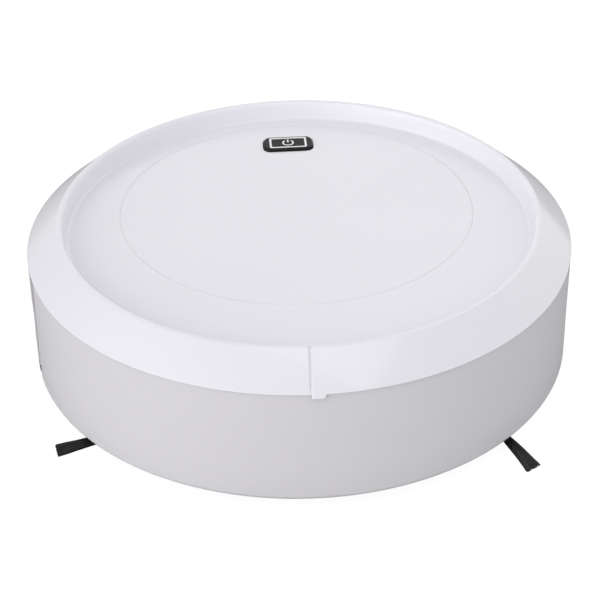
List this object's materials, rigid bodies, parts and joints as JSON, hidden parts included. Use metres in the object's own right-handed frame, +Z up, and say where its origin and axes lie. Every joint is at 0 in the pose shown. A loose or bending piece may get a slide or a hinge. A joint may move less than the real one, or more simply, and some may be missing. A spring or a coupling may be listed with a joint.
{
  "type": "robot vacuum cleaner",
  "caption": "Round robot vacuum with a dished hinged top cover, start button, front bumper, side brushes, sprung drive wheels, caster, dust box and blower.",
  "frame": {"origin": "on the floor under the centre of the round body", "axes": "+Z up, -Y towards the front, where the bumper and side brushes are; seen from the front, +X is to the right"},
  "size_m": [0.25, 0.2516, 0.075],
  "materials": {
    "shell_white": "gloss",
    "wall_white": "satin gloss",
    "button_black": "fine satin",
    "ink_white": "printed",
    "steel": "zinc plated",
    "black_plastic": "fine texture",
    "grey_plastic": "fine texture",
    "smoke_clear": "clear moulded",
    "filter_paper": "pleated non-woven",
    "bristle": "nylon filament",
    "tyre_rubber": "ribbed",
    "lip_rubber": "soft",
    "motor_steel": "drawn can",
    "battery_wrap": "shrink film",
    "board_green": "solder mask",
    "dark_glass": "infrared window"
  },
  "bodies": {
    "chassis": {"lid_hinge_pin": "steel", "base_plate": "black_plastic", "mid_frame": "wall_white", "deck": "grey_plastic", "deck_screws": "steel", "base_screws": "steel", "battery_door_screws": "steel", "board_screws": "steel", "dust_box": "smoke_clear", "dust_box_cover": "grey_plastic", "filter_frame": "grey_plastic", "filter_media": "filter_paper", "blower_housing": "black_plastic", "blower_motor": "motor_steel", "battery_pack": "battery_wrap", "battery_door": "black_plastic", "main_board": "board_green", "board_parts": "black_plastic", "start_switch": "black_plastic", "cliff_windows": "dark_glass", "inlet_lip": "lip_rubber", "side_panel": "black_plastic", "charging_socket": "black_plastic", "power_switch_case": "black_plastic", "wheel_hood_left": "black_plastic", "arm_pin_left": "steel", "brush_gearbox_left": "black_plastic", "brush_motor_left": "motor_steel", "bumper_sensor_left": "black_plastic", "wheel_hood_right": "black_plastic", "arm_pin_right": "steel", "brush_gearbox_right": "black_plastic", "brush_motor_right": "motor_steel", "bumper_sensor_right": "black_plastic"},
    "lid": {"top_cover": "shell_white", "trim_disc": "shell_white"},
    "start_button": {"start_button": "button_black", "button_inlay": "ink_white"},
    "bumper": {"bumper": "wall_white"},
    "blower_impeller": {"blower_impeller": "grey_plastic"},
    "power_rocker": {"power_rocker": "button_black"},
    "caster_fork": {"caster_fork": "black_plastic", "caster_axle": "steel"},
    "caster_wheel": {"caster_wheel": "grey_plastic"},
    "arm_left": {"suspension_arm_left": "black_plastic", "drive_motor_left": "motor_steel"},
    "wheel_left": {"wheel_hub_left": "grey_plastic", "tyre_left": "tyre_rubber"},
    "brush_left": {"brush_hub_left": "black_plastic", "bristles_left": "bristle", "brush_screw_left": "steel"},
    "arm_right": {"suspension_arm_right": "black_plastic", "drive_motor_right": "motor_steel"},
    "wheel_right": {"wheel_hub_right": "grey_plastic", "tyre_right": "tyre_rubber"},
    "brush_right": {"brush_hub_right": "black_plastic", "bristles_right": "bristle", "brush_screw_right": "steel"}
  },
  "joints": [
    {"name": "lid_hinge", "type": "hinge", "parent": "chassis", "child": "lid", "pos_m": [0, 0.1206, 0.0596], "axis": [-1, 0, 0], "range_deg": [0, 75]},
    {"name": "start_press", "type": "slide", "parent": "lid", "child": "start_button", "axis": [0, 0, -1], "range_m": [0, 0.001], "stiffness_N_per_m": 300, "springref_m": -0.001},
    {"name": "bumper_press", "type": "slide", "parent": "chassis", "child": "bumper", "axis": [0, 1, 0], "range_m": [0, 0.003], "stiffness_N_per_m": 400, "springref_m": -0.002},
    {"name": "arm_left_drop", "type": "hinge", "parent": "chassis", "child": "arm_left", "pos_m": [-0.069, 0.056, 0.024], "axis": [1, 0, 0], "range_deg": [0, 14.5], "stiffness_Nm_per_rad": 0.1, "springref_deg": 28.65},
    {"name": "wheel_left_spin", "type": "hinge", "parent": "arm_left", "child": "wheel_left", "pos_m": [-0.087, 0.02, 0.026], "axis": [1, 0, 0], "continuous": true},
    {"name": "brush_left_spin", "type": "hinge", "parent": "chassis", "child": "brush_left", "pos_m": [-0.0752, -0.0611, 0.006], "axis": [0, 0, 1], "continuous": true},
    {"name": "arm_right_drop", "type": "hinge", "parent": "chassis", "child": "arm_right", "pos_m": [0.069, 0.056, 0.024], "axis": [1, 0, 0], "range_deg": [0, 14.5], "stiffness_Nm_per_rad": 0.1, "springref_deg": 28.65},
    {"name": "wheel_right_spin", "type": "hinge", "parent": "arm_right", "child": "wheel_right", "pos_m": [0.087, 0.02, 0.026], "axis": [1, 0, 0], "continuous": true},
    {"name": "brush_right_spin", "type": "hinge", "parent": "chassis", "child": "brush_right", "pos_m": [0.0752, -0.0611, 0.006], "axis": [0, 0, 1], "continuous": true},
    {"name": "caster_swivel", "type": "hinge", "parent": "chassis", "child": "caster_fork", "pos_m": [0, -0.092, 0.02], "axis": [0, 0, 1], "continuous": true},
    {"name": "caster_roll", "type": "hinge", "parent": "caster_fork", "child": "caster_wheel", "pos_m": [0, -0.088, 0.009], "axis": [1, 0, 0], "continuous": true},
    {"name": "impeller_spin", "type": "hinge", "parent": "chassis", "child": "blower_impeller", "pos_m": [0, 0.035, 0.033], "axis": [0, 1, 0], "continuous": true},
    {"name": "power_tilt", "type": "hinge", "parent": "chassis", "child": "power_rocker", "pos_m": [-0.117, 0.003, 0.033], "axis": [0, -1, 0], "range_deg": [0, 16]}
  ]
}
